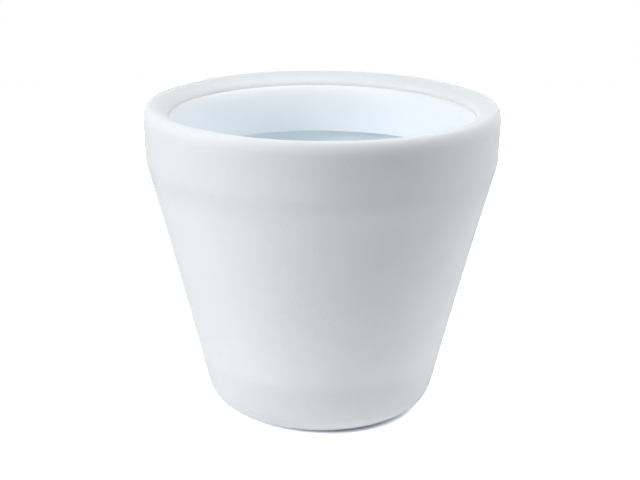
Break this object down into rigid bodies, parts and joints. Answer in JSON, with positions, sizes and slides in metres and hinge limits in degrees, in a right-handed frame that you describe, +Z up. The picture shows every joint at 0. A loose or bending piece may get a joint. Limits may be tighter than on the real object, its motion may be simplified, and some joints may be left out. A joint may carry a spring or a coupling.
{
  "type": "plastic planter",
  "caption": "Round tapered plastic planter with a rolled rim band, lift-out inner collar, raised drainage platform and drain plug.",
  "frame": {"origin": "on the floor plane under the four pads, on the pot's axis", "axes": "+Z up along the pot's axis of turning; +X and +Y lie level, with two pads on each side of them"},
  "size_m": [0.4, 0.4, 0.353],
  "materials": {
    "shell_plastic": "fine pebbled matt, cool white",
    "collar_plastic": "smooth matt, cool white",
    "platform_plastic": "moulded satin white",
    "plug_rubber": "matt black rubber",
    "pad_rubber": "matt black rubber"
  },
  "bodies": {
    "shell": {"outer_shell": "shell_plastic", "floor_pad_1": "pad_rubber", "floor_pad_2": "pad_rubber", "floor_pad_3": "pad_rubber", "floor_pad_4": "pad_rubber"},
    "collar": {"inner_collar": "collar_plastic"},
    "platform": {"drainage_platform": "platform_plastic"},
    "plug": {"drain_plug": "plug_rubber"}
  },
  "joints": [
    {"name": "collar_lift", "type": "slide", "parent": "shell", "child": "collar", "axis": [0, 0, 1], "range_m": [0, 0.09]},
    {"name": "platform_lift", "type": "slide", "parent": "shell", "child": "platform", "axis": [0, 0, 1], "range_m": [0, 0.35]},
    {"name": "plug_lift", "type": "slide", "parent": "shell", "child": "plug", "axis": [0, 0, 1], "range_m": [0, 0.02]}
  ]
}
